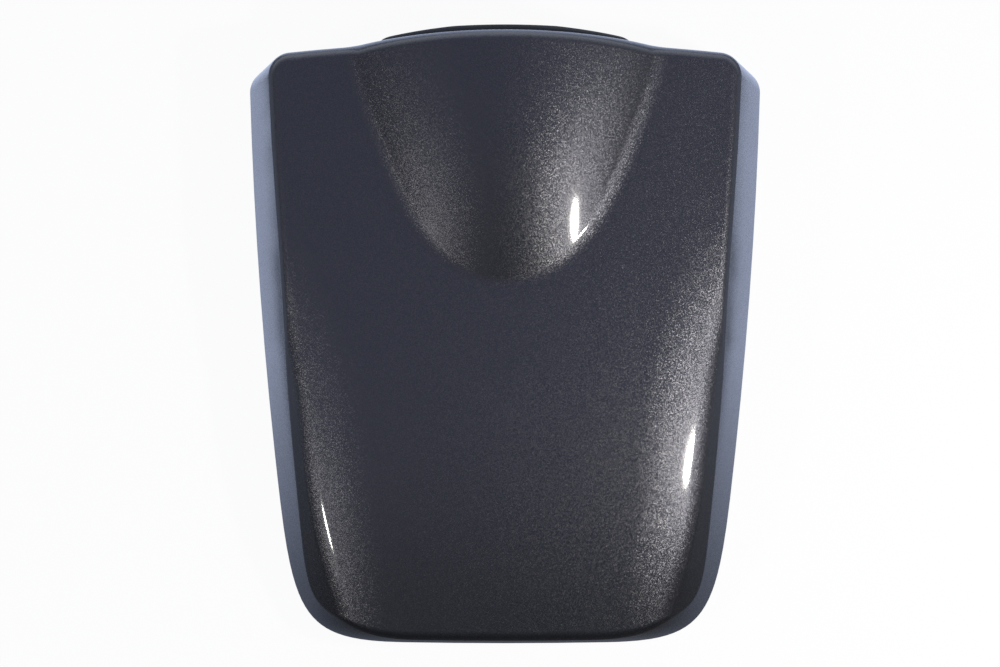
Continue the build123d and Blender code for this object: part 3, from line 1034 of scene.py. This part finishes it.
def add_floor(settings):
    """Pale floor that shows white to the camera and painted shade in reflections, and keeps a soft shadow.
    """
    mesh = bpy.data.meshes.new("floor")
    corners = [(FLOOR_REACH * x, FLOOR_REACH * y, 0.0) for x, y in ((-1, -1), (1, -1), (1, 1), (-1, 1))]
    mesh.from_pydata(corners, [], [(0, 1, 2, 3)])
    material, tree, shader = new_material("pale_floor")
    set_shader(tree, shader, {
        "Base Color": (*settings.floor_colour, 1.0),
        "Roughness": 0.9,
        "Specular IOR Level": 0.1,
    })
    rays = add_node(tree, "ShaderNodeLightPath").outputs
    # Reflections of the floor show a painted cool tint and painted shade
    shown = mix_node(tree, rays["Is Glossy Ray"], (1.0, 1.0, 1.0, 1.0), floor_reflection_with_painted_shade(tree))
    glow = add_node(tree, "ShaderNodeEmission", {"Color": shown, "Strength": 1.0}).outputs["Emission"]
    seen = math_node(tree, "MAXIMUM", rays["Is Camera Ray"], rays["Is Glossy Ray"])
    seen = math_node(tree, "MAXIMUM", seen, rays["Is Transmission Ray"])
    share = math_node(tree, "MULTIPLY", seen, FLOOR_GLOW)
    mix = add_node(tree, "ShaderNodeMixShader", {"Fac": share, 1: shader.outputs["BSDF"], 2: glow})
    feed(tree, mix.outputs["Shader"], tree.nodes["Material Output"].inputs["Surface"])
    add_object("floor", mesh, [material])


def add_world():
    """Surroundings: a cool dim ceiling, darker low down and behind, with a pale band ahead."""
    world = bpy.data.worlds.new("studio")
    bpy.context.scene.world = world
    world.use_nodes = True
    tree = world.node_tree
    direction = add_node(tree, "ShaderNodeTexCoord").outputs["Generated"]
    split = add_node(tree, "ShaderNodeSeparateXYZ", {"Vector": direction}).outputs
    along = spread_node(tree, split["Y"], *CEILING_SPAN)
    ceiling = ramp_node(tree, along, [(0.0, CEILING_BEHIND), (1.0, CEILING_AHEAD)])
    dimmed = mix_node(tree, 1.0, ceiling, grey_ramp(tree, split["Z"], CEILING_HEIGHTS), "MULTIPLY")
    slope = add_node(tree, "ShaderNodeVectorMath", {0: direction, 1: BAND_SLOPE}, operation="DOT_PRODUCT")
    sky = mix_node(tree, spread_node(tree, slope.outputs["Value"], *BAND_SPAN), dimmed, BAND_COLOUR)

    # Low down on both sides the surroundings are lighter again
    outwards = spread_node(tree, math_node(tree, "ABSOLUTE", split["X"]), *SIDES_SPAN)
    share = math_node(tree, "MULTIPLY", outwards, spread_node(tree, split["Z"], *SIDES_HEIGHTS))
    background = tree.nodes["Background"].inputs
    feed(tree, mix_node(tree, share, sky, SIDES_COLOUR), background["Color"])
    background["Strength"].default_value = 1.0


def add_lamp(name, place, size, power):
    """Softbox that faces the cowl."""
    data = bpy.data.lights.new(name, "AREA")
    data.shape = "ELLIPSE"
    data.size, data.size_y = size
    data.energy = power
    data.color = LAMP_COLOUR
    lamp = bpy.data.objects.new(name, data)
    bpy.context.scene.collection.objects.link(lamp)
    lamp.location = place
    lamp.rotation_euler = (-Vector(place)).to_track_quat("-Z", "Y").to_euler()


def add_camera(settings):
    """Camera above and slightly behind the cowl."""
    data = bpy.data.cameras.new("camera")
    data.lens = settings.lens
    data.sensor_width = SENSOR_WIDTH
    data.shift_x, data.shift_y = (pixels / PHOTO_WIDTH for pixels in PHOTO_SHIFT)
    camera = bpy.data.objects.new("camera", data)
    bpy.context.scene.collection.objects.link(camera)
    back = Vector((0.0, -math.cos(settings.elevation), math.sin(settings.elevation)))
    camera.location = Vector(CAMERA_TARGET) + settings.distance * back
    camera.rotation_euler = (math.pi / 2 - settings.elevation, 0.0, 0.0)
    bpy.context.scene.camera = camera


# Add-on

OPERATORS = (
    COWL_OT_paint_shell,
    COWL_OT_bump_pad,
    COWL_OT_tray,
    COWL_OT_feet,
    COWL_OT_striker,
    COWL_OT_screws,
    COWL_OT_stage,
)
SETTINGS = {
    "cowl_paint": PaintSettings,
    "cowl_pad": PadSettings,
    "cowl_underside": UndersideSettings,
    "cowl_stage": StageSettings,
}


class COWL_PT_sidebar(bpy.types.Panel):
    """Settings and steps of the seat cowl"""

    bl_idname = "COWL_PT_sidebar"
    bl_label = "Seat Cowl"
    bl_space_type = "VIEW_3D"
    bl_region_type = "UI"
    bl_category = "Seat Cowl"

    def draw(self, context):
        """List the settings and the steps."""
        for name, group in SETTINGS.items():
            box = self.layout.box()
            box.label(text=group.__doc__)
            for key in group.__annotations__:
                box.prop(getattr(context.scene, name), key)
        for operator in OPERATORS:
            self.layout.operator(operator.bl_idname)


def register():
    """Add the classes and their settings to Blender."""
    for group in SETTINGS.values():
        bpy.utils.register_class(group)
    for name, group in SETTINGS.items():
        setattr(bpy.types.Scene, name, PointerProperty(type=group))
    for operator in OPERATORS:
        bpy.utils.register_class(operator)
    bpy.utils.register_class(COWL_PT_sidebar)


def unregister():
    """Take the classes and their settings out of Blender."""
    bpy.utils.unregister_class(COWL_PT_sidebar)
    for operator in reversed(OPERATORS):
        bpy.utils.unregister_class(operator)
    for name, group in SETTINGS.items():
        delattr(bpy.types.Scene, name)
        bpy.utils.unregister_class(group)


def main():
    """Dress the cowl."""
    register()
    bpy.ops.cowl.paint_shell()
    bpy.ops.cowl.bump_pad()
    bpy.ops.cowl.tray()
    bpy.ops.cowl.feet()
    bpy.ops.cowl.striker()
    bpy.ops.cowl.screws()
    bpy.ops.cowl.stage()


if __name__ == "__main__":
    main()
